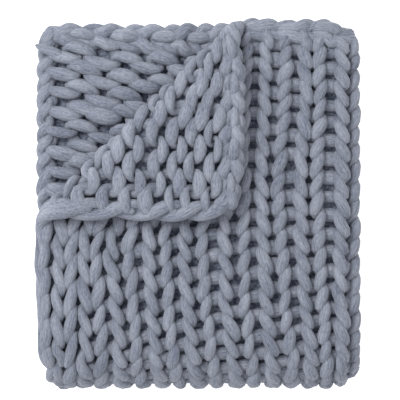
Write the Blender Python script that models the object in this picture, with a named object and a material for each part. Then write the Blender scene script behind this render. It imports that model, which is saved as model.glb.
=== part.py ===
"""Chunky knit blanket: one throw of thick yarn, folded to a quarter, its top corner turned back.

The cloth is one solid. It is laid out flat by columns and rows of stitches, then bent round a fold on
the right, a fold at the near side and a slanting fold at the far left corner. Lengths are in metres.
The near side is -Y, the far side +Y, and the blanket rests on z = 0.
"""

import bpy
import numpy as np

LAYER_PITCH = 0.044
CLOTH_THICKNESS = 0.038
COLUMNS = 18
FIRST_ROW = -1.0
LAST_ROW = 37.0

LEFT_X = -0.323
RIGHT_TURN_X = 0.288
NEAR_TURN_Y = -0.261
NEAR_TURN_LENGTH = 0.300
NEAR_TURN_EXTRA = 0.029
FAR_Y = 0.369

PLACE_SHIFT = (-0.0029947, 0.005495)

CORNER_POINT = (-0.1024, 0.1476)
CORNER_NORMAL = (-0.699, 0.715)

STITCH_CREST = 0.005
STITCH_GROOVE = 0.006
PURL_CREST = 0.004
PURL_GROOVE = 0.004
LEG_DROP_ROWS = 1.3
EDGE_ROUNDING = 0.026
EDGE_LEAST = 0.35

# How far each column's middle lies from the left edge, at some rows. Lengths in millimetres.
COLUMN_MIDDLES = {
    "row": [-1, 4, 8, 10, 14, 17, 22],
    "mm_from_left": [
        [34, 102, 170, 236, 304, 372, 444, 520, 590],
        [34, 102, 170, 236, 304, 372, 434, 516, 590],
        [34, 100, 162, 226, 294, 366, 432, 504, 586],
        [32, 84, 130, 204, 276, 354, 436, 508, 588],
        [30, 88, 144, 208, 280, 356, 440, 520, 592],
        [28, 80, 151, 223, 295, 374, 454, 534, 599],
        [36, 106, 177, 248, 319, 390, 461, 532, 600],
    ],
}
RIGHT_COLUMNS_START = 641
RIGHT_COLUMN_WIDTH = 71.5
CORNER_ROWS = [-1, 0, 1, 2]
CORNER_INSETS = [22, 10, 3, 0]

# How far each row lies from the far edge line along the cloth, by column. Lengths in millimetres.
ROW_PLACES = {
    "column_middle": [0.0, 0.5, 1.5, 2.5, 3.5, 4.5, 5.5, 6.5, 7.5, 8.5, 9.1, 12.0, 15.0, 16.5, 17.5, 18.0],
    "row": [-1, 0, 2, 4, 6, 8, 10, 12, 14, 15, 17, 20, 37],
    "mm_from_far": [
        [2, 22, 92, 174, 264, 366, 476, 580, 684, 735, 814, 930, 1532],
        [-16, 16, 92, 174, 264, 366, 476, 580, 684, 735, 814, 930, 1532],
        [-22, 14, 90, 168, 254, 348, 452, 556, 661, 721, 800, 918, 1532],
        [-22, 14, 90, 168, 254, 350, 454, 552, 640, 685, 768, 888, 1532],
        [-20, 16, 92, 168, 252, 342, 440, 528, 612, 654, 721, 840, 1532],
        [-14, 20, 96, 172, 252, 336, 424, 504, 590, 630, 714, 824, 1532],
        [-6, 26, 100, 172, 248, 328, 410, 494, 578, 614, 698, 802, 1532],
        [0, 32, 96, 166, 248, 330, 410, 484, 574, 612, 695, 800, 1532],
        [0, 40, 106, 176, 246, 334, 406, 484, 566, 604, 678, 788, 1532],
        [0, 40, 112, 190, 258, 332, 410, 482, 554, 590, 660, 772, 1532],
        [14, 44, 114, 190, 262, 338, 415, 490, 565, 602, 675, 786, 1532],
        [2, 40, 114, 190, 268, 344, 420, 498, 576, 614, 690, 800, 1532],
        [2, 40, 116, 194, 272, 348, 424, 502, 580, 618, 694, 804, 1532],
        [8, 42, 118, 196, 274, 350, 427, 504, 582, 620, 697, 807, 1532],
        [16, 46, 120, 198, 276, 352, 430, 506, 584, 622, 700, 810, 1532],
        [30, 54, 124, 200, 276, 352, 430, 506, 584, 622, 700, 810, 1532],
    ],
}


def column_place(column, row):
    """Distance from the left free edge along the cloth, in metres, for a column and row."""
    rows = np.array(COLUMN_MIDDLES["row"], float)
    table = np.array(COLUMN_MIDDLES["mm_from_left"], float)
    middles = np.stack([np.interp(row, rows, table[:, k]) for k in range(table.shape[1])])
    first = np.interp(row, CORNER_ROWS, CORNER_INSETS)[None]
    nose = np.full_like(first, RIGHT_COLUMNS_START)
    last = nose + (COLUMNS - 9) * RIGHT_COLUMN_WIDTH - first
    values = np.concatenate([first, middles, nose, last])
    knots = np.concatenate([[0.0], np.arange(9) + 0.5, [9.0, float(COLUMNS)]])
    return interpolate_knots(column, knots, values) / 1000


def interpolate_knots(place, knots, values):
    """Linear reading of values (one line per knot) at each place."""
    lower = np.clip(np.searchsorted(knots, place, side="right") - 1, 0, len(knots) - 2)
    share = (place - knots[lower]) / (knots[lower + 1] - knots[lower])
    index = np.arange(len(place))
    return values[lower, index] * (1 - share) + values[lower + 1, index] * share


def row_place(column, row):
    """Distance from the far edge line along the cloth, in metres, for a column and row."""
    knots = np.array(ROW_PLACES["column_middle"], float)
    rows = np.array(ROW_PLACES["row"], float)
    table = np.array(ROW_PLACES["mm_from_far"], float)
    values = np.stack([np.interp(row, rows, line) for line in table])
    return interpolate_knots(np.clip(column, knots[0], knots[-1]), knots, values) / 1000


def turn_right_edge(along):
    """Plan x of the cloth's middle, and its side of the fold, after the fold on the right."""
    radius = LAYER_PITCH / 2
    start = RIGHT_TURN_X - LEFT_X
    angle = np.clip((along - start) / radius, 0, np.pi)
    beyond = np.maximum(along - start - np.pi * radius, 0)
    return angle, np.minimum(along, start) + LEFT_X, beyond


def bend(along, across, height):
    """Place of each point of the flat cloth in the folded blanket.

    along runs from the left free edge, across from the far edge line, and height is the distance
    from the middle of the cloth towards its knit side.
    """
    radius = LAYER_PITCH / 2
    angle, straight_x, beyond = turn_right_edge(along)
    x = straight_x + (radius + height) * np.sin(angle) - beyond
    side = (radius + height) * np.cos(angle)

    straight_length = FAR_Y - NEAR_TURN_Y
    turn = np.clip((across - straight_length) / NEAR_TURN_LENGTH, 0, 1) * np.pi
    back = np.maximum(across - straight_length - NEAR_TURN_LENGTH, 0)
    depth = LAYER_PITCH + side
    middle_z = 1.5 * LAYER_PITCH + CLOTH_THICKNESS / 2
    y = FAR_Y - np.minimum(across, straight_length) - (depth + NEAR_TURN_EXTRA) * np.sin(turn) + back
    z = middle_z + depth * np.cos(turn)

    top_layer = (angle == 0) & (turn == 0)
    x, y, z = turn_corner(x, y, z, height, top_layer)
    return settle(x, y, z)


def turn_corner(x, y, z, height, top_layer):
    """Turns the far left corner of the top layer up and back over a slanting fold."""
    radius = LAYER_PITCH / 2
    normal = np.array(CORNER_NORMAL) / np.hypot(*CORNER_NORMAL)
    past = (x - CORNER_POINT[0]) * normal[0] + (y - CORNER_POINT[1]) * normal[1]
    turned = top_layer & (past > 0)
    angle = np.clip(past / radius, 0, np.pi)
    new_past = (radius - height) * np.sin(angle) - np.maximum(past - np.pi * radius, 0)
    shift = np.where(turned, new_past - past, 0)
    lift = np.where(turned, radius - (radius - height) * np.cos(angle) - height, 0)
    return x + shift * normal[0], y + shift * normal[1], z + lift


def settle(x, y, z):
    """Lets the free left and far edges sag, and leaves the pile a little uneven."""
    left = np.exp(-np.maximum(x - LEFT_X, 0) / 0.07)
    far = np.exp(-np.maximum(FAR_Y - y, 0) / 0.07)
    uneven = 0.012 * np.sin(9 * x + 1.3) * np.cos(7 * y - 0.6)
    return x + PLACE_SHIFT[0], y + PLACE_SHIFT[1], z * (1 - 0.09 * left - 0.09 * far + uneven)


def edge_factor(column, row, along, across):
    """Share of the cloth's thickness left near a free edge, which is rounded."""
    inside = np.minimum(
        along - column_place(np.zeros_like(column), row),
        column_place(np.full_like(column, COLUMNS), row) - along,
    )
    ends = np.minimum(
        across - row_place(column, np.full_like(row, FIRST_ROW)),
        row_place(column, np.full_like(row, LAST_ROW)) - across,
    )
    near = np.clip(1 - np.minimum(inside, ends) / EDGE_ROUNDING, 0, 1)
    return np.maximum(np.sqrt(1 - near**2), EDGE_LEAST)


def wave(value):
    """Crest at whole numbers plus a half, groove at whole numbers, from 1 to -1."""
    return -np.cos(2 * np.pi * value)


def under_flap(along, across):
    """How much a point of the top layer is clear of the turned corner, 0 for covered, 1 for clear."""
    x = LEFT_X + along
    y = FAR_Y - across
    normal = np.array(CORNER_NORMAL) / np.hypot(*CORNER_NORMAL)
    past = (x - CORNER_POINT[0]) * normal[0] + (y - CORNER_POINT[1]) * normal[1]
    right = np.clip((x - 0.105) / 0.012, 0, 1)
    near = np.clip((-0.040 - y) / 0.012, 0, 1)
    return np.where(past > -0.012, 0, np.maximum(right, near))


def knit_height(column, row, drop, along, across):
    """Outer height of the knit side: a raised leg each side of a column's middle."""
    middle = np.abs(column % 1.0 - 0.5)
    lengthways = np.maximum(wave((row - drop) % 1.0), 0)
    sideways = 0.4 + 0.6 * np.abs(np.sin(2 * np.pi * middle))
    relief = (STITCH_CREST + STITCH_GROOVE) * lengthways * sideways - STITCH_GROOVE
    straight = FAR_Y - NEAR_TURN_Y
    fade = np.clip((straight + 0.75 * NEAR_TURN_LENGTH - across) / (0.12 * NEAR_TURN_LENGTH), 0, 1)
    past_nose = np.clip((9.35 - column) / 0.3, 0, 1)
    return CLOTH_THICKNESS / 2 + relief * fade * past_nose * under_flap(along, across)


def purl_height(column, row, along, across):
    """Outer height of the purl side: staggered bumps where the corner leaves it in view."""
    relief = wave(column + 0.5) * wave(row + 0.5) * -1
    relief = np.where(np.abs(relief) < 0.3, 0.0, relief)
    relief = np.where(relief > 0, PURL_CREST * relief, PURL_GROOVE * relief)
    normal = np.array(CORNER_NORMAL) / np.hypot(*CORNER_NORMAL)
    y = FAR_Y - across
    past_top = (LEFT_X + along - CORNER_POINT[0]) * normal[0] + (y - CORNER_POINT[1]) * normal[1]
    lower_x = RIGHT_TURN_X - (along - (RIGHT_TURN_X - LEFT_X) - np.pi * LAYER_PITCH / 2)
    past_lower = (lower_x - CORNER_POINT[0]) * normal[0] + (y - CORNER_POINT[1]) * normal[1]
    on_flap = (column < 7) & (past_top > 0.004)
    in_gap = (column > 12) & (past_lower > 0.052)
    return CLOTH_THICKNESS / 2 + np.where(on_flap | in_gap, relief, 0)


def spaced(*spans):
    """Values through the spans, each given as its start, end and number of steps."""
    parts = [np.linspace(start, end, steps, endpoint=False) for start, end, steps in spans]
    return np.append(np.concatenate(parts), spans[-1][1])


def knit_side():
    """Points of the knit side as a grid, with each point's column and row."""
    columns = spaced((0, 8.5, 34), (8.5, 9.75, 10), (9.75, 12, 1), (12, 17.5, 2), (17.5, COLUMNS, 2))
    lines = spaced(
        (FIRST_ROW, 20, 42), (20, 24, 4), (24, 36, 3), (36, LAST_ROW, 2)
    )
    column, line = [g.ravel() for g in np.meshgrid(columns, lines, indexing="ij")]
    slope = np.clip((line - FIRST_ROW) / 1.5, 0, 1) * np.clip((20 - line) / 2, 0, 1)
    slope = slope * np.clip((9.5 - column) / 0.4, 0, 1)
    drop = LEG_DROP_ROWS * slope * 2 * np.abs(column % 1.0 - 0.5)
    row = line + drop
    along = column_place(column, row)
    across = row_place(column, row)
    height = knit_height(column, row, drop, along, across)
    height = height * edge_factor(column, row, along, across)
    x, y, z = bend(along, across, height)
    return grid_of(columns, lines, column, row, x, y, z)


def purl_side():
    """Points of the purl side as a grid, with each point's column and row."""
    columns = spaced(
        (0, 5.75, 23), (5.75, 8.5, 3), (8.5, 9.75, 10), (9.75, 12.75, 2), (12.75, COLUMNS, 21)
    )
    lines = spaced((FIRST_ROW, 10, 22), (10, 16, 3), (16, 24, 8), (24, 36, 3), (36, LAST_ROW, 2))
    column, row = [g.ravel() for g in np.meshgrid(columns, lines, indexing="ij")]
    along = column_place(column, row)
    across = row_place(column, row)
    height = purl_height(column, row, along, across)
    height = height * edge_factor(column, row, along, across)
    x, y, z = bend(along, across, -height)
    return grid_of(columns, lines, column, row, x, y, z)


def grid_of(columns, lines, column, row, x, y, z):
    """The grid's points, columns and rows in the shape of the grid."""
    shape = (len(columns), len(lines))
    points = np.stack([x, y, z], axis=1).reshape(*shape, 3)
    return points, column.reshape(shape), row.reshape(shape)


def grid_faces(shape, first, flipped):
    """Quads of a grid whose points start at the index first."""
    index = first + np.arange(shape[0] * shape[1]).reshape(shape)
    corners = [index[:-1, :-1], index[1:, :-1], index[1:, 1:], index[:-1, 1:]]
    quads = np.stack([c.ravel() for c in corners], axis=1)
    return quads[:, ::-1] if flipped else quads


def joined(upper, upper_at, lower, lower_at):
    """Triangles between two lines of points that start and end together."""
    faces = []
    i, j = 0, 0
    while i < len(upper) - 1 or j < len(lower) - 1:
        upper_next = upper_at[i + 1] if i < len(upper) - 1 else np.inf
        lower_next = lower_at[j + 1] if j < len(lower) - 1 else np.inf
        if upper_next <= lower_next:
            faces.append((upper[i], lower[j], upper[i + 1]))
            i += 1
        else:
            faces.append((upper[i], lower[j], lower[j + 1]))
            j += 1
    return faces


def cloth():
    """Points and faces of the folded cloth as one closed body."""
    knit, knit_column, knit_row = knit_side()
    purl, purl_column, purl_row = purl_side()
    knit_index = np.arange(knit[..., 0].size).reshape(knit.shape[:2])
    purl_index = knit_index.size + np.arange(purl[..., 0].size).reshape(purl.shape[:2])
    faces = grid_faces(knit.shape[:2], 0, True).tolist()
    faces += grid_faces(purl.shape[:2], knit_index.size, False).tolist()
    rims = [
        ((slice(None), 0), knit_column, purl_column, True),
        ((slice(None), -1), knit_column, purl_column, False),
        ((0, slice(None)), knit_row, purl_row, False),
        ((-1, slice(None)), knit_row, purl_row, True),
    ]
    for line, knit_at, purl_at, flipped in rims:
        rim = joined(knit_index[line], knit_at[line], purl_index[line], purl_at[line])
        faces += [face[::-1] for face in rim] if flipped else rim
    return np.concatenate([knit.reshape(-1, 3), purl.reshape(-1, 3)]), faces


def yarn_material():
    """Matte blue-grey wool, for the solid's own look."""
    material = bpy.data.materials.new("blue-grey wool yarn")
    material.use_nodes = True
    shader = material.node_tree.nodes["Principled BSDF"]
    shader.inputs["Base Color"].default_value = (0.25, 0.27, 0.34, 1)
    shader.inputs["Roughness"].default_value = 0.95
    return material


def main():
    for item in list(bpy.data.objects):
        bpy.data.objects.remove(item, do_unlink=True)
    group = bpy.data.collections.new("chunky knit blanket")
    bpy.context.scene.collection.children.link(group)
    points, faces = cloth()
    mesh = bpy.data.meshes.new("blanket")
    mesh.from_pydata([tuple(map(float, p)) for p in points], [], [tuple(map(int, f)) for f in faces])
    mesh.validate()
    mesh.update()
    mesh.materials.append(yarn_material())
    blanket = bpy.data.objects.new("blanket", mesh)
    group.objects.link(blanket)


main()
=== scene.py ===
"""Looks of the chunky knit blanket: its yarn, stitch by stitch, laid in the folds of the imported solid.

The yarn is swept along the path of each knitted row. A path is first written in the flat cloth, as a
column, a row and a height towards the knit side, and then bent round the blanket's folds. Lengths are
in metres. The near side of the blanket is -Y and it lies on z = 0.
"""

import logging
from dataclasses import dataclass, field
from enum import Enum

import bpy
import numpy as np
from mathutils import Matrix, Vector

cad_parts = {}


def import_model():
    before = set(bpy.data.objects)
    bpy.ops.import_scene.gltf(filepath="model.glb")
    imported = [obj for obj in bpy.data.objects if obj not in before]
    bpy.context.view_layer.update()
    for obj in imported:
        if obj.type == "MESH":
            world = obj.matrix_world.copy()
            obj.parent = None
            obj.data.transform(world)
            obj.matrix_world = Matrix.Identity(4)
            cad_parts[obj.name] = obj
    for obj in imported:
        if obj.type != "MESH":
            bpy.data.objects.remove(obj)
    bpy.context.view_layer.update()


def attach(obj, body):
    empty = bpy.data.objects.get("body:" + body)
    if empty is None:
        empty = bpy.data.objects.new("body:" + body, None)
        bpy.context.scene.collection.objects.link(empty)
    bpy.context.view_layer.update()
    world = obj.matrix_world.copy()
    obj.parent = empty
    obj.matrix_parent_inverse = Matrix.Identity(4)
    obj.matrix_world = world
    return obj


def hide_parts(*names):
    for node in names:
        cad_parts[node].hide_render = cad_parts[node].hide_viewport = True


LOG = logging.getLogger("blanket")
SEED = 41


class Side(Enum):
    """Which face of the cloth a yarn lies on."""

    KNIT = 1
    PURL = -1


def linear_colour(hex_code: str) -> tuple[float, float, float, float]:
    """Turns an sRGB hex colour into the linear colour that a shader takes.

    Args:
        hex_code: The colour as # and six hex digits.

    Returns:
        Red, green, blue and alpha.
    """
    srgb = np.array([int(hex_code[i : i + 2], 16) for i in (1, 3, 5)]) / 255
    linear = np.where(srgb <= 0.04045, srgb / 12.92, ((srgb + 0.055) / 1.055) ** 2.4)
    return (*map(float, linear), 1.0)


def read_between(place: np.ndarray, knots: np.ndarray, values: np.ndarray) -> np.ndarray:
    """Reads a table between its knots, with a set of values of its own for each place.

    Args:
        place: Where to read.
        knots: The places that the table's lines are for, rising.
        values: The table, one line for each knot and one column for each place.

    Returns:
        One value for each place.
    """
    lower = np.clip(np.searchsorted(knots, place, side="right") - 1, 0, len(knots) - 2)
    share = (place - knots[lower]) / (knots[lower + 1] - knots[lower])
    index = np.arange(len(place))
    return values[lower, index] * (1 - share) + values[lower + 1, index] * share


@dataclass(frozen=True)
class Layout:
    """Where the columns and rows of stitches lie along the flat cloth.

    The tables hold millimetres: each top column's middle from the left edge, at some rows, and each
    row from the far edge line, at some columns. The insets draw in the starts and ends of the rows.
    """

    columns: int = 18
    top_columns: int = 9
    under_column: int = 15
    first_row: float = -1.0
    last_row: float = 37.0
    right_start: float = 626
    under_middle: float = 1032
    right_end: float = 1284.5
    inset_rows: tuple = (-1, 0, 1, 2, 8, 9.3, 10.3, 12, 28, 31)
    start_insets: tuple = (20, 10, 3, 0, 0, 5, 1, 9, 12, 4)
    end_insets: tuple = (6, 3, 1, 0, 0, 5, 1, 9, 12, 4)
    middle_rows: tuple = (-1, 4, 8, 10, 14, 17, 22)
    middles: tuple = (
        (34, 102, 170, 236, 304, 372, 444, 520, 590),
        (34, 102, 170, 236, 304, 372, 434, 516, 590),
        (34, 100, 162, 226, 294, 366, 432, 504, 586),
        (32, 84, 130, 204, 276, 354, 436, 508, 588),
        (30, 80, 147, 214, 283, 358, 440, 520, 592),
        (26, 74, 150, 226, 298, 376, 454, 534, 599),
        (36, 106, 177, 248, 319, 390, 461, 532, 600),
    )
    row_columns: tuple = (0.0, 0.5, 1.5, 2.5, 3.5, 4.5, 5.5, 6.5, 7.5, 8.5, 9.1, 12.0, 15.0, 16.5, 17.5, 18.0)
    rows: tuple = (-1, 0, 2, 4, 6, 8, 10, 12, 14, 15, 17, 20, 37)
    row_places: tuple = (
        (14, 30, 94, 174, 264, 366, 476, 580, 684, 735, 814, 930, 1532),
        (-6, 24, 94, 174, 264, 366, 476, 580, 684, 735, 814, 930, 1532),
        (-13, 20, 92, 168, 254, 348, 452, 556, 661, 721, 800, 918, 1532),
        (-14, 20, 92, 168, 254, 350, 454, 552, 640, 685, 768, 888, 1532),
        (-14, 20, 93, 168, 252, 342, 440, 528, 612, 654, 721, 840, 1532),
        (-10, 22, 96, 172, 252, 336, 424, 504, 590, 630, 714, 824, 1532),
        (1, 30, 101, 172, 248, 328, 410, 494, 578, 614, 698, 802, 1532),
        (7, 36, 98, 167, 248, 330, 410, 484, 574, 612, 695, 800, 1532),
        (7, 43, 107, 176, 246, 334, 406, 484, 566, 604, 678, 788, 1532),
        (7, 44, 114, 190, 258, 332, 410, 482, 554, 590, 660, 772, 1532),
        (12, 48, 116, 190, 262, 338, 415, 490, 565, 602, 675, 786, 1532),
        (14, 86, 170, 240, 310, 374, 440, 510, 582, 619, 693, 800, 1532),
        (14, 66, 150, 224, 299, 371, 440, 512, 584, 619, 695, 804, 1532),
        (14, 52, 130, 205, 283, 359, 433, 508, 582, 620, 697, 807, 1532),
        (12, 42, 116, 192, 272, 352, 430, 506, 584, 622, 700, 810, 1532),
        (18, 42, 114, 190, 270, 352, 430, 506, 584, 622, 700, 810, 1532),
    )

    def along(self, column: np.ndarray, row: np.ndarray) -> np.ndarray:
        """Distance from the left free edge.

        Args:
            column: Place along the rows, in stitches.
            row: Place across them, in rows.

        Returns:
            One distance a point, in metres.
        """
        middles = np.stack([np.interp(row, self.middle_rows, places) for places in zip(*self.middles)])
        first = np.interp(row, self.inset_rows, self.start_insets)[None]
        turn = np.full_like(first, self.right_start)
        under = np.full_like(first, self.under_middle)
        last = self.right_end - np.interp(row, self.inset_rows, self.end_insets)[None]
        top = np.arange(self.top_columns) + 0.5
        knots = np.concatenate([[0], top, [self.top_columns, self.under_column, self.columns]])
        return read_between(column, knots, np.concatenate([first, middles, turn, under, last])) / 1000

    def across(self, column: np.ndarray, row: np.ndarray) -> np.ndarray:
        """Distance from the far edge line.

        Args:
            column: Place along the rows, in stitches.
            row: Place across them, in rows.

        Returns:
            One distance a point, in metres.
        """
        knots = np.array(self.row_columns)
        values = np.stack([np.interp(row, self.rows, places) for places in self.row_places])
        return read_between(np.clip(column, knots[0], knots[-1]), knots, values) / 1000


@dataclass(frozen=True)
class Folds:
    """The folds that turn the flat cloth into the blanket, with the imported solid's measures.

    The corner roundings are for the near left, near right, far left and far right corner.
    """

    layer_pitch: float = 0.044
    thickness: float = 0.038
    left_x: float = -0.323
    right_turn_x: float = 0.288
    near_turn_y: float = -0.261
    near_turn_length: float = 0.300
    near_turn_extra: float = 0.029
    far_y: float = 0.369
    shift: tuple[float, float] = (-0.0029947, 0.005495)
    corner_point: tuple[float, float] = (-0.1024, 0.1476)
    corner_normal: tuple[float, float] = (-0.699, 0.715)
    corner_roundings: tuple[float, float, float, float] = (0.066, 0.036, 0.008, 0.062)
    sag_reach: float = 0.07
    sag_share: float = 0.09
    uneven_share: float = 0.012

    def bend(self, along: np.ndarray, across: np.ndarray, height: np.ndarray) -> np.ndarray:
        """Places points of the flat cloth in the folded blanket.

        Args:
            along: Distance from the left free edge.
            across: Distance from the far edge line.
            height: Distance from the cloth's middle towards its knit side.

        Returns:
            One point a line.
        """
        radius = self.layer_pitch / 2
        start = self.right_turn_x - self.left_x
        angle = np.clip((along - start) / radius, 0, np.pi)
        beyond = np.maximum(along - start - np.pi * radius, 0)
        x = np.minimum(along, start) + self.left_x + (radius + height) * np.sin(angle) - beyond
        side = (radius + height) * np.cos(angle)

        straight = self.far_y - self.near_turn_y
        turn = np.clip((across - straight) / self.near_turn_length, 0, 1) * np.pi
        back = np.maximum(across - straight - self.near_turn_length, 0)
        depth = self.layer_pitch + side
        middle_z = 1.5 * self.layer_pitch + self.thickness / 2
        reach = (depth + self.near_turn_extra) * np.sin(turn)
        y = self.far_y - np.minimum(across, straight) - reach + back
        z = middle_z + depth * np.cos(turn)

        x, y, z = self.turn_corner(x, y, z, height, (angle == 0) & (turn == 0))
        return self.settle(x, y, z)

    def past_corner(self, x: np.ndarray, y: np.ndarray) -> np.ndarray:
        """Distance beyond the turned corner's fold line.

        Args:
            x: Place from left to right.
            y: Place from near to far.

        Returns:
            One distance a point, above zero towards the far left corner.
        """
        normal = np.array(self.corner_normal) / np.hypot(*self.corner_normal)
        return (x - self.corner_point[0]) * normal[0] + (y - self.corner_point[1]) * normal[1]

    def turn_corner(
        self, x: np.ndarray, y: np.ndarray, z: np.ndarray, height: np.ndarray, top_layer: np.ndarray
    ) -> tuple[np.ndarray, np.ndarray, np.ndarray]:
        """Turns the far left corner of the top layer up and back over a slanting fold.

        Args:
            x: Place from left to right.
            y: Place from near to far.
            z: Height above the table.
            height: Distance from the cloth's middle towards its knit side.
            top_layer: Whether a point is in the top layer.

        Returns:
            The three places after the turn.
        """
        radius = self.layer_pitch / 2
        normal = np.array(self.corner_normal) / np.hypot(*self.corner_normal)
        past = self.past_corner(x, y)
        turned = top_layer & (past > 0)
        angle = np.clip(past / radius, 0, np.pi)
        flat_part = np.maximum(past - np.pi * radius, 0)
        shift = np.where(turned, (radius - height) * np.sin(angle) - flat_part - past, 0)
        lift = np.where(turned, radius - (radius - height) * np.cos(angle) - height, 0)
        return x + shift * normal[0], y + shift * normal[1], z + lift

    def settle(self, x: np.ndarray, y: np.ndarray, z: np.ndarray) -> np.ndarray:
        """Lets the free left and far edges sag, and leaves the pile a little uneven.

        Args:
            x: Place from left to right.
            y: Place from near to far.
            z: Height above the table.

        Returns:
            One point a line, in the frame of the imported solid.
        """
        left = np.exp(-np.maximum(x - self.left_x, 0) / self.sag_reach)
        far = np.exp(-np.maximum(self.far_y - y, 0) / self.sag_reach)
        uneven = self.uneven_share * np.sin(9 * x + 1.3) * np.cos(7 * y - 0.6)
        z = z * (1 - self.sag_share * left - self.sag_share * far + uneven)
        x, y = self.round_corners(x, y)
        return np.stack([x + self.shift[0], y + self.shift[1], z], axis=-1)

    def round_corners(self, x: np.ndarray, y: np.ndarray) -> tuple[np.ndarray, np.ndarray]:
        """Draws the pile's four corners in, from a square to a quarter circle each.

        Args:
            x: Place from left to right.
            y: Place from near to far.

        Returns:
            The two places after the rounding.
        """
        right = self.right_turn_x + self.layer_pitch / 2
        near = self.near_turn_y - 1.5 * self.layer_pitch - self.near_turn_extra
        places = ((self.left_x, near), (right, near), (self.left_x, self.far_y), (right, self.far_y))
        for (corner_x, corner_y), size in zip(places, self.corner_roundings):
            sign_x, sign_y = np.sign(corner_x), np.sign(corner_y)
            out_x = np.maximum(sign_x * (x - corner_x) + size, 0)
            out_y = np.maximum(sign_y * (y - corner_y) + size, 0)
            square = np.maximum(out_x, out_y)
            drawn_in = square / np.maximum(np.hypot(out_x, out_y), 1e-9)
            share = np.where(np.minimum(out_x, out_y) > 0, drawn_in, 1)
            x = x + sign_x * out_x * (share - 1)
            y = y + sign_y * out_y * (share - 1)
        return x, y


@dataclass(frozen=True)
class Cloth:
    """The knitted cloth: its layout bent round its folds.

    Only points before `corner_column` and `corner_row` can lie in the turned corner, whose fold takes
    `corner_turn` metres. The face that shows changes over one column from `under_from` on.
    """

    layout: Layout = field(default_factory=Layout)
    folds: Folds = field(default_factory=Folds)
    corner_column: float = 7
    corner_row: float = 14
    corner_turn: float = 0.06
    under_from: float = 8.9

    def points(self, column: np.ndarray, row: np.ndarray, height: np.ndarray) -> np.ndarray:
        """Places points in the folded blanket.

        Args:
            column: Place along the rows, in stitches.
            row: Place across them, in rows.
            height: Distance from the cloth's middle towards its knit side.

        Returns:
            One point a line.
        """
        along = self.layout.along(column, row)
        across = self.layout.across(column, row)
        return self.folds.bend(along, across, height)

    def normals(self, column: np.ndarray, row: np.ndarray) -> np.ndarray:
        """Directions out of the knit side."""
        step = np.full_like(column, 0.002)
        return self.points(column, row, step) - self.points(column, row, -step)

    def purl_shown(self, column: np.ndarray, row: np.ndarray) -> np.ndarray:
        """Which face of the cloth looks up or out.

        Args:
            column: Place along the rows, in stitches.
            row: Place across them, in rows.

        Returns:
            1 for the purl side, 0 for the knit side and between at the folds.
        """
        layout, folds = self.layout, self.folds
        along, across = layout.along(column, row), layout.across(column, row)
        past = folds.past_corner(folds.left_x + along, folds.far_y - across)
        near_corner = (column < self.corner_column) & (row < self.corner_row)
        corner = np.where(near_corner, np.clip(0.5 + past / self.corner_turn, 0, 1), 0)
        return np.maximum(corner, np.clip(column - self.under_from, 0, 1))


@dataclass
class YarnPath:
    """A length of yarn in the flat cloth, with its half width and half depth at each point."""

    column: np.ndarray
    row: np.ndarray
    height: np.ndarray
    half_width: np.ndarray
    half_depth: np.ndarray


@dataclass(frozen=True)
class Yarn:
    """Thick unspun wool yarn and how far a stitch carries it."""

    half_width: float = 0.0118
    half_depth: float = 0.0105
    rise: float = 0.0098
    reach_rows: float = 0.84
    arc_flatness: float = 0.07
    swing_columns: float = 0.180
    gather_columns: float = 0.02
    near_fill: float = 0.006
    bar_lift_rows: float = 0.27
    pinch: float = 0.11
    arc_swell: float = 0.07
    bar_swell: float = 0.12
    edge_width: float = 0.0118
    edge_depth: float = 0.0100
    steps: int = 24
    sides: int = 12


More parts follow.
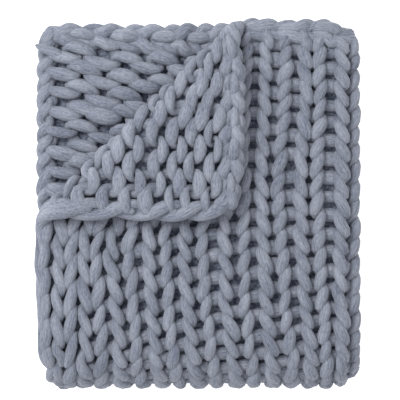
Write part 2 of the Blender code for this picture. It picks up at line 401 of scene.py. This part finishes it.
class Knitting:
    """Writes the paths of the rows and edges of a stockinette cloth."""

    def __init__(self, cloth: Cloth, yarn: Yarn, random: np.random.Generator) -> None:
        self.cloth = cloth
        self.layout = cloth.layout
        self.yarn = yarn
        self.random = random

    def uneven(self, stitches: np.ndarray, count: int, size: float) -> np.ndarray:
        """Smooth unevenness along a row, of about the given size, with two values a stitch."""
        knots = self.random.normal(0, size, 2 * count + 4)
        place = 2 * stitches + 1
        lower = np.clip(place.astype(int), 0, 2 * count + 2)
        share = place - lower
        share = share * share * (3 - 2 * share)
        return knots[lower] * (1 - share) + knots[lower + 1] * share

    def gather(self, column: np.ndarray, number: int) -> np.ndarray:
        """How far, in columns, the legs of a V lean together: most beside the far right corner."""
        right = np.interp(column, (6.5, 7.0, 7.5, 8.0, 9.0, 9.5), (0.0, -0.02, 0.02, 0.045, 0.06, 0.0))
        return self.yarn.gather_columns + right * np.clip((12 - number) / 3, 0, 1)

    def near_fold(self, column: np.ndarray, row: np.ndarray) -> np.ndarray:
        """1 on the outermost line of the near fold, falling to 0 at 10 cm from it."""
        across = self.layout.across(column, row)
        return np.exp(-(((across - 0.78) / 0.06) ** 2))

    def row(self, number: int) -> YarnPath:
        """One knitted row.

        With t running from 0 to 2 pi over a stitch: column = t / 2 pi + swing sin 2t - gather sin t
        - slant cos t, row = number - reach (cos t - flatness cos 3t) - lift ((1 - cos t) / 2)^3
        + lean sin 2t and height = -rise (cos 2t - 0.15 cos 6t). The lift and the slant are for the
        knit side and the lean for the purl side. The knit side swings further in the left columns,
        and the first purl arcs of the turned corner are slimmer.

        Args:
            number: Which row, counted from the far edge.

        Returns:
            The row's path from the left free edge to its other end.
        """
        yarn, count = self.yarn, self.layout.columns
        turn = np.linspace(0, 2 * np.pi * count, yarn.steps * count + 1)
        stitch = turn / (2 * np.pi)
        purl = self.cloth.purl_shown(stitch, np.full_like(stitch, number))
        left = (1 - purl) * np.interp(stitch, (1.8, 3.2), (1.0, 0.0))
        swing = yarn.swing_columns + 0.030 * purl + 0.055 * left
        sway = swing * np.sin(2 * turn) - self.gather(stitch, number) * np.sin(turn)
        slant = 0.022 * (1 - purl) * np.interp(stitch, (2, 4), (0, 1)) * np.clip((number - 6) / 4, 0, 1)
        sway = sway - slant * np.cos(turn)
        column = stitch + sway * np.clip(2.6 * np.minimum(stitch, count - stitch), 0, 1)
        column = column + self.uneven(stitch, count, 0.026) * (1 + 0.4 * purl)
        reach = yarn.reach_rows * (np.cos(turn) - yarn.arc_flatness * np.cos(3 * turn))
        lift = yarn.bar_lift_rows * (1 - purl) * ((1 - np.cos(turn)) / 2) ** 3
        lean = np.interp(stitch, (0, 1.5, 3, 6, 7, 13, 14), (0.14, 0.02, -0.12, -0.12, 0, 0, -0.07))
        lean = lean * purl * np.sin(2 * turn)
        row = number - reach - lift + lean + self.uneven(stitch, count, 0.05) * (1 + 0.5 * purl)
        height = -yarn.rise * (np.cos(2 * turn) - 0.15 * np.cos(6 * turn))
        height = height + self.uneven(stitch, count, 0.0008)
        height = height + yarn.near_fill * self.near_fold(column, row) * (np.cos(2 * turn) + 1) / 2
        swell = yarn.bar_swell + purl * (yarn.arc_swell - yarn.bar_swell)
        plump = 1 + (yarn.pinch + 0.07 * left + 0.05 * purl) * np.cos(4 * turn) + swell * np.cos(2 * turn)
        plump = plump + self.uneven(stitch, count, 0.10) * (1 + 0.5 * purl) - 0.03 * left
        slim = 0.05 + 0.22 * (stitch < 8) * np.clip((4 - number) / 4, 0, 1)
        plump = plump * (1 - slim * purl)
        column = np.clip(column, 0.16, count - 0.16)
        return YarnPath(
            column,
            np.clip(row, self.layout.first_row + 0.3, self.layout.last_row - 0.3),
            height,
            yarn.half_width * plump,
            yarn.half_depth * (0.5 + 0.5 * plump),
        )

    def end_chain(self, row: float, side: Side, lean: int) -> YarnPath:
        """A strand of the chain along the cast-on or cast-off edge, one long link a column.

        With t running over 2 pi a column: column = t / 2 pi - 0.08 sin t, row wanders by 0.12 of a row
        and height = rise (0.3 - 0.6 cos t) on the knit side, so the strand shows as one plump link a
        column.

        Args:
            row: Where the strand runs.
            side: The face on which its links show.
            lean: 1 or -1, which way the links lean.
        """
        yarn, count = self.yarn, self.layout.columns
        turn = np.linspace(0, 2 * np.pi * count, 18 * count + 1)
        turned = turn + (0 if side is Side.KNIT else np.pi)
        stitch = turn / (2 * np.pi)
        column = stitch - 0.08 * np.sin(turned) + self.uneven(stitch, count, 0.03)
        lift = yarn.rise * (0.3 * side.value - 0.6 * np.cos(turned))
        plump = 1.04 - 0.10 * np.cos(2 * turn) - 0.12 * np.cos(turned) * side.value
        plump = plump + self.uneven(stitch, count, 0.05)
        column = np.clip(column, 0.10, count - 0.10)
        wander = row + 0.12 * lean * np.sin(turned) + self.uneven(stitch, count, 0.04)
        return YarnPath(column, wander, lift, yarn.edge_width * plump, yarn.edge_depth * plump)

    def side_chain(self, column: float, side: Side) -> YarnPath:
        """A strand of the twisted edge along the cloth's side.

        It makes one turn for 3.6 rows on the edge where the rows start and for 1.7 rows where they
        end. The first edge is wider and plumper along the turned corner, most of all at its tip.

        Args:
            column: The edge's place along the rows.
            side: The face on which the strand starts.

        Returns:
            The strand's path from the far edge on.
        """
        yarn = self.yarn
        inward = 1 if column < self.layout.columns / 2 else -1
        rows_a_turn = 3.6 if inward > 0 else 1.7
        turns = (self.layout.last_row - self.layout.first_row) / rows_a_turn
        turn = np.linspace(0, 2 * np.pi * turns, int(30 * turns) + 1)
        row = self.layout.first_row + rows_a_turn * turn / (2 * np.pi)
        phase = turn + (0 if side is Side.KNIT else np.pi)
        flap = np.clip((9.5 - row) / 1.5, 0, 1) * (inward > 0)
        place = column + inward * (0.09 + 0.10 * flap - (0.11 + 0.06 * flap) * np.cos(phase))
        height = yarn.rise * (0.6 + 0.3 * flap) * np.sin(phase)
        stitch = turn / (2 * np.pi)
        plump = (0.72 if inward > 0 else 0.9) + 0.36 * flap - 0.12 * np.cos(2 * turn)
        plump = plump + self.uneven(stitch, int(turns) + 1, 0.07)
        plump = plump + 0.3 * (inward > 0) * np.exp(-(((row - 7.6) / 1.3) ** 2))
        row = row + self.uneven(stitch, int(turns) + 1, 0.12)
        row = np.clip(row, self.layout.first_row + 0.15, self.layout.last_row - 0.15)
        return YarnPath(place, row, height, yarn.edge_width * plump, yarn.edge_depth * plump)


    def loose_end(self, columns: tuple, rows: tuple, heights: tuple) -> YarnPath:
        """A short end of yarn that comes out of the cloth.

        Args:
            columns: The columns of its start and its tip.
            rows: Their rows.
            heights: Their heights towards the knit side.

        Returns:
            The end's path, straight in the flat cloth.
        """
        share = np.linspace(0, 1, 15)
        column, row, height = [np.interp(share, (0, 1), pair) for pair in (columns, rows, heights)]
        plump = 0.75 + 0.10 * np.sin(np.pi * share)
        return YarnPath(column, row, height, self.yarn.edge_width * plump, self.yarn.edge_depth * plump)


class TubeSweep:
    """Sweeps an oval section along yarn paths and gathers the result in one mesh.

    The grain lies in metres along and round the yarn, shifted from one path to the next. The bake
    places give each path a lane of its own, with a margin on both sides.
    """

    TABLE_GAP = 0.0005
    END_STEPS = 4
    END_SHARE = 0.0004
    GRAIN_GIRTH = 2 * np.pi * 0.0115
    GRAIN_SHIFT = 3.7
    LANE_MARGIN = 0.06

    def __init__(self, cloth: Cloth, sides: int) -> None:
        self.cloth = cloth
        self.sides = sides
        self.points: list[np.ndarray] = []
        self.faces: list[np.ndarray] = []
        self.grain: list[np.ndarray] = []
        self.bake: list[np.ndarray] = []
        self.count = 0

    def add(self, path: YarnPath, lane: int, lanes: int) -> None:
        """Adds one path's surface.

        A point of the surface is centre + half_width cos(a) side + half_depth sin(a) outward, with
        outward the cloth's normal made square to the path and side square to both. Both ends are
        rounded off over their last few rings.

        Args:
            path: The yarn's middle and its half width and half depth.
            lane: The path's number in this piece.
            lanes: How many paths the piece has.
        """
        centre = self.cloth.points(path.column, path.row, path.height)
        forward = np.gradient(centre, axis=0)
        forward /= np.linalg.norm(forward, axis=1, keepdims=True) + 1e-12
        normal = self.cloth.normals(path.column, path.row)
        side = np.cross(forward, normal)
        side /= np.linalg.norm(side, axis=1, keepdims=True) + 1e-12
        outward = np.cross(side, forward)
        angle = np.arange(self.sides) * 2 * np.pi / self.sides
        from_end = np.minimum(np.arange(len(centre)), np.arange(len(centre))[::-1])
        rounded = np.sqrt(np.clip(from_end / self.END_STEPS, self.END_SHARE, 1))[:, None]
        ring = (
            centre[:, None]
            + side[:, None] * (rounded * path.half_width[:, None] * np.cos(angle))[..., None]
            + outward[:, None] * (rounded * path.half_depth[:, None] * np.sin(angle))[..., None]
        )
        # The lowest yarn is pressed flat by the table.
        ring[..., 2] = np.maximum(ring[..., 2], self.TABLE_GAP)
        length = np.concatenate([[0], np.cumsum(np.linalg.norm(np.diff(centre, axis=0), axis=1))])
        self.store(ring, length, lane, lanes)

    def store(self, ring: np.ndarray, length: np.ndarray, lane: int, lanes: int) -> None:
        """Keeps a swept surface's points, faces, grain and bake places.

        Args:
            ring: The surface's points, one ring for each step along the path.
            length: Distance along the path at each step.
            lane: The path's number in this piece.
            lanes: How many paths the piece has.
        """
        steps = len(ring)
        index = self.count + np.arange(steps * self.sides).reshape(steps, self.sides)
        step = np.repeat(np.arange(steps - 1), self.sides)
        turn = np.tile(np.arange(self.sides), steps - 1)
        after = (turn + 1) % self.sides
        wall = [index[step, turn], index[step + 1, turn], index[step + 1, after], index[step, after]]
        # Each end is closed by a ladder of quads across its small last ring.
        rung = np.arange(self.sides // 2 - 1)
        ladder = np.stack([rung, rung + 1, self.sides - 2 - rung, self.sides - 1 - rung], axis=1)
        self.faces += [np.stack(wall, axis=1), index[0][ladder], index[-1][ladder[:, ::-1]]]
        corner_step = np.stack([step, step + 1, step + 1, step], axis=1)
        corner_turn = np.stack([turn, turn, turn + 1, turn + 1], axis=1)
        corner_step = np.concatenate([corner_step, np.zeros_like(ladder), np.full_like(ladder, steps - 1)])
        corner_turn = np.concatenate([corner_turn, ladder, ladder[:, ::-1]])
        round_share = corner_turn / self.sides
        grain = np.stack([length[corner_step] + self.GRAIN_SHIFT * lane, round_share * self.GRAIN_GIRTH], axis=-1)
        in_lane = self.LANE_MARGIN + (1 - 2 * self.LANE_MARGIN) * round_share
        bake = np.stack([corner_step / (steps - 1), (lane + in_lane) / lanes], axis=-1)
        self.points.append(ring.reshape(-1, 3))
        self.grain.append(grain.reshape(-1, 2))
        self.bake.append(bake.reshape(-1, 2))
        self.count += steps * self.sides

    def mesh_object(self, name: str, material: bpy.types.Material) -> bpy.types.Object:
        """Makes the piece that holds everything swept so far.

        Args:
            name: The piece's name.
            material: Its material.

        Returns:
            The new object, linked to the scene.
        """
        points = np.concatenate(self.points)
        faces = np.concatenate(self.faces)
        mesh = bpy.data.meshes.new(name)
        mesh.vertices.add(len(points))
        mesh.vertices.foreach_set("co", points.ravel())
        mesh.loops.add(faces.size)
        mesh.loops.foreach_set("vertex_index", faces.ravel())
        mesh.polygons.add(len(faces))
        mesh.polygons.foreach_set("loop_start", np.arange(len(faces)) * 4)
        mesh.polygons.foreach_set("use_smooth", np.ones(len(faces), bool))
        for layer, values in (("Grain", self.grain), ("OFBake", self.bake)):
            mesh.uv_layers.new(name=layer).data.foreach_set("uv", np.concatenate(values).ravel())
        mesh.update()
        mesh.validate()
        mesh.materials.append(material)
        piece = bpy.data.objects.new(name, mesh)
        bpy.context.scene.collection.objects.link(piece)
        return piece


class NodeBuilder:
    """Adds nodes to a material and links them."""

    def __init__(self, name: str) -> None:
        self.material = bpy.data.materials.new(name)
        self.material.use_nodes = True
        self.tree = self.material.node_tree
        self.shader = self.tree.nodes["Principled BSDF"]

    def add(self, kind: str, settings: dict | None = None, **inputs: object) -> bpy.types.Node:
        """Adds a node.

        Args:
            kind: The node's type name.
            settings: Values of the node itself.
            inputs: Values or sockets for its inputs, by name with _ for a space.

        Returns:
            The new node.
        """
        node = self.tree.nodes.new(kind)
        for key, value in (settings or {}).items():
            setattr(node, key, value)
        for key, value in inputs.items():
            self.put(node, key.replace("_", " "), value)
        return node

    def put(self, node: bpy.types.Node, name: str, value: object) -> None:
        """Sets one input of a node to a value or links a socket to it."""
        if isinstance(value, bpy.types.NodeSocket):
            self.tree.links.new(value, node.inputs[name])
        else:
            node.inputs[name].default_value = value


@dataclass(frozen=True)
class WoolFinish:
    """Unspun merino-like wool, felted a little: matte, soft edged, its fibres combed along the yarn."""

    light: str = "#8F939F"
    body: str = "#555C6B"

    def material(self) -> bpy.types.Material:
        """Builds the wool: fibre streaks, slow shade changes along the yarn, and a soft sheen."""
        build = NodeBuilder("unspun blue-grey wool yarn")
        grain = build.add("ShaderNodeUVMap", {"uv_map": "Grain"}).outputs["UV"]
        # Long combed fibres, in tufts about 3 mm wide and 40 mm long.
        streak_place = build.add("ShaderNodeMapping", Vector=grain, Scale=(26, 330, 1)).outputs["Vector"]
        streak = build.add(
            "ShaderNodeTexNoise", {"noise_dimensions": "2D"}, Vector=streak_place, Scale=1.0, Detail=4.0, Roughness=0.65
        ).outputs["Fac"]
        # Short loose fibres, about 3 mm wide and 7 mm long.
        fibre_place = build.add("ShaderNodeMapping", Vector=grain, Scale=(150, 380, 1)).outputs["Vector"]
        fibre = build.add(
            "ShaderNodeTexNoise", {"noise_dimensions": "2D"}, Vector=fibre_place, Scale=1.0, Detail=3.0
        ).outputs["Fac"]
        # Slow change of shade, a hand's width along the yarn.
        cloud_place = build.add("ShaderNodeMapping", Vector=grain, Scale=(14, 30, 1)).outputs["Vector"]
        cloud = build.add(
            "ShaderNodeTexNoise", {"noise_dimensions": "2D"}, Vector=cloud_place, Scale=1.0, Detail=2.0
        ).outputs["Fac"]
        mixed = build.add("ShaderNodeMath", {"operation": "MULTIPLY_ADD"})
        build.tree.links.new(cloud, mixed.inputs[0])
        mixed.inputs[1].default_value = 0.75
        build.tree.links.new(streak, mixed.inputs[2])
        speckled = build.add("ShaderNodeMath", {"operation": "MULTIPLY_ADD"})
        build.tree.links.new(fibre, speckled.inputs[0])
        speckled.inputs[1].default_value = 0.9
        build.tree.links.new(mixed.outputs["Value"], speckled.inputs[2])
        shade = build.add("ShaderNodeMath", {"operation": "MULTIPLY"})
        build.tree.links.new(speckled.outputs["Value"], shade.inputs[0])
        shade.inputs[1].default_value = 0.5
        ramp = build.add("ShaderNodeValToRGB", Fac=shade.outputs["Value"])
        ramp.color_ramp.elements[0].position = 0.45
        ramp.color_ramp.elements[0].color = linear_colour(self.body)
        ramp.color_ramp.elements[1].position = 0.85
        ramp.color_ramp.elements[1].color = linear_colour(self.light)
        build.tree.links.new(ramp.outputs["Color"], build.shader.inputs["Base Color"])
        relief = build.add("ShaderNodeMix", {"data_type": "FLOAT"}, Factor=0.35)
        build.tree.links.new(streak, relief.inputs[2])
        build.tree.links.new(fibre, relief.inputs[3])
        bump = build.add("ShaderNodeBump", Height=relief.outputs[0], Strength=0.65, Distance=0.004)
        build.tree.links.new(bump.outputs["Normal"], build.shader.inputs["Normal"])
        build.put(build.shader, "Roughness", 0.95)
        build.put(build.shader, "Specular IOR Level", 0.15)
        build.put(build.shader, "Sheen Weight", 0.1)
        build.put(build.shader, "Sheen Roughness", 0.6)
        return build.material


@dataclass(frozen=True)
class ShadeSheetFinish:
    """A thin sheet far down between the stitches, where little light comes: its dark colour is painted shade."""

    # The darker colour is painted shade; the lighter one is the other end of its mottling.
    painted_shade: str = "#485062"
    colour: str = "#7B818F"

    def material(self) -> bpy.types.Material:
        """Builds the sheet's painted shade, dark blue-grey with a soft fibre mottling."""
        build = NodeBuilder("painted shade in the depth of the knit")
        place = build.add("ShaderNodeTexCoord").outputs["Object"]
        mottle = build.add("ShaderNodeTexNoise", Vector=place, Scale=150.0, Detail=3.0).outputs["Fac"]
        ramp = build.add("ShaderNodeValToRGB", Fac=mottle)
        ramp.color_ramp.elements[0].position = 0.38
        ramp.color_ramp.elements[1].position = 0.62
        ramp.color_ramp.elements[0].color = linear_colour(self.painted_shade)
        ramp.color_ramp.elements[1].color = linear_colour(self.colour)
        build.tree.links.new(ramp.outputs["Color"], build.shader.inputs["Base Color"])
        build.put(build.shader, "Roughness", 1.0)
        build.put(build.shader, "Specular IOR Level", 0.0)
        return build.material


class Blanket:
    """The dressed blanket: bands of knitted yarn, its edge chains and the ground sheet of painted shade."""

    def __init__(self) -> None:
        self.cloth = Cloth()
        self.yarn = Yarn()
        self.random = np.random.default_rng(SEED)
        self.knitting = Knitting(self.cloth, self.yarn, self.random)

    def band(self, name: str, rows: range, material: bpy.types.Material) -> bpy.types.Object:
        """Knits some rows as one piece."""
        sweep = TubeSweep(self.cloth, self.yarn.sides)
        for lane, number in enumerate(rows):
            sweep.add(self.knitting.row(number), lane, len(rows))
        return sweep.mesh_object(name, material)

    def edges(self, material: bpy.types.Material) -> bpy.types.Object:
        """Makes the chains along the four free edges."""
        layout = self.cloth.layout
        ends = ((layout.first_row + 0.15, 1), (layout.first_row + 0.72, -1), (layout.last_row - 0.25, 1))
        paths = [self.knitting.end_chain(row, side, lean) for row, lean in ends for side in Side]
        paths += [self.knitting.side_chain(end, side) for end in (0.0, layout.columns) for side in Side]
        paths.append(self.knitting.loose_end((17.40, 18.20), (0.80, 0.10), (-0.012, -0.014)))
        paths.append(self.knitting.loose_end((1.30, 0.72), (16.6, 17.0), (0.010, 0.024)))
        sweep = TubeSweep(self.cloth, self.yarn.sides)
        for lane, path in enumerate(paths):
            sweep.add(path, lane, len(paths))
        return sweep.mesh_object("edge_chains", material)

    def ground(self, material: bpy.types.Material) -> bpy.types.Object:
        """Makes the thin ground behind the stitches, on the folds of the solid, coloured with painted shade."""
        layout = self.cloth.layout
        columns = np.linspace(0.15, layout.columns - 0.15, 121)
        rows = np.linspace(layout.first_row + 0.4, layout.last_row - 0.6, 161)
        column, row = [g.ravel() for g in np.meshgrid(columns, rows, indexing="ij")]
        height = 0.028 * (self.cloth.purl_shown(column, row) - 0.5)
        points = self.cloth.points(column, row, height)
        shape = (len(columns), len(rows))
        index = np.arange(len(points)).reshape(shape)
        corners = [index[:-1, :-1], index[:-1, 1:], index[1:, 1:], index[1:, :-1]]
        faces = np.stack([c.ravel() for c in corners], axis=1)
        mesh = bpy.data.meshes.new("knit_shade_sheet")
        mesh.from_pydata(points.tolist(), [], faces.tolist())
        mesh.polygons.foreach_set("use_smooth", np.ones(len(faces), bool))
        mesh.materials.append(material)
        piece = bpy.data.objects.new("knit_shade_sheet", mesh)
        bpy.context.scene.collection.objects.link(piece)
        return piece

    def dress(self) -> None:
        """Makes every piece and ties it to the frame."""
        wool = WoolFinish().material()
        bands = [
            self.band("rows_far", range(0, 13), wool),
            self.band("rows_near", range(13, 25), wool),
            self.band("rows_under", range(25, 37), wool),
            self.edges(wool),
        ]
        # The ground sheet stands in for the shade between the stitches; its dark colour is painted shade.
        ground = self.ground(ShadeSheetFinish().material())
        for piece in [*bands, ground]:
            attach(piece, "root")
            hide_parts("blanket")


@dataclass(frozen=True)
class Studio:
    """A white table under soft light, with the camera straight above."""

    top_z: float = 0.170
    distance: float = 5.0
    centre: tuple[float, float] = (0.0020053, 0.014495)
    seen_width: float = 0.800
    key_place: tuple[float, float, float] = (-1.5, 1.1, 2.6)
    key_size: float = 1.6
    key_power: float = 77.0
    sky_strength: float = 0.98

    def floor(self) -> None:
        """Lays the pale table top that the blanket lies on."""
        mesh = bpy.data.meshes.new("table_top")
        half = 4.0
        corners = [(-half, -half, 0), (half, -half, 0), (half, half, 0), (-half, half, 0)]
        mesh.from_pydata(corners, [], [(0, 1, 2, 3)])
        build = NodeBuilder("matte white table top")
        build.put(build.shader, "Base Color", linear_colour("#FBFBFB"))
        build.put(build.shader, "Roughness", 0.9)
        build.put(build.shader, "Emission Color", (1, 1, 1, 1))
        build.put(build.shader, "Emission Strength", 0.5)
        mesh.materials.append(build.material)
        table = bpy.data.objects.new("table_top", mesh)
        bpy.context.scene.collection.objects.link(table)

    def light(self, name: str, place: tuple[float, float, float], size: float, power: float) -> None:
        """Hangs one square lamp that faces the blanket."""
        lamp = bpy.data.lights.new(name, "AREA")
        lamp.size = size
        lamp.energy = power
        holder = bpy.data.objects.new(name, lamp)
        holder.location = place
        direction = -np.array(place, float)
        holder.rotation_mode = "QUATERNION"
        holder.rotation_quaternion = Vector(direction).to_track_quat("-Z", "Y")
        bpy.context.scene.collection.objects.link(holder)

    def sky(self, strength: float) -> None:
        """Fills the room with even white light."""
        world = bpy.data.worlds.new("white room")
        world.use_nodes = True
        world.node_tree.nodes["Background"].inputs["Color"].default_value = (1, 1, 1, 1)
        world.node_tree.nodes["Background"].inputs["Strength"].default_value = strength
        bpy.context.scene.world = world

    def camera(self) -> None:
        """Looks straight down, as the photograph does."""
        lens = bpy.data.cameras.new("camera")
        lens.sensor_width = 36.0
        lens.lens = 36.0 * self.distance / self.seen_width
        lens.clip_end = 50.0
        holder = bpy.data.objects.new("camera", lens)
        holder.location = (*self.centre, self.top_z + self.distance)
        bpy.context.scene.collection.objects.link(holder)
        bpy.context.scene.camera = holder

    def build(self) -> None:
        """Sets up the whole room."""
        self.floor()
        self.light("soft key", self.key_place, self.key_size, self.key_power)
        self.sky(self.sky_strength)
        self.camera()
        bpy.context.scene.view_settings.view_transform = "Standard"


def main() -> None:
    """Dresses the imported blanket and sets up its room."""
    logging.basicConfig(level=logging.INFO, format="%(message)s")
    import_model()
    Blanket().dress()
    Studio().build()


if __name__ == "__main__":
    main()
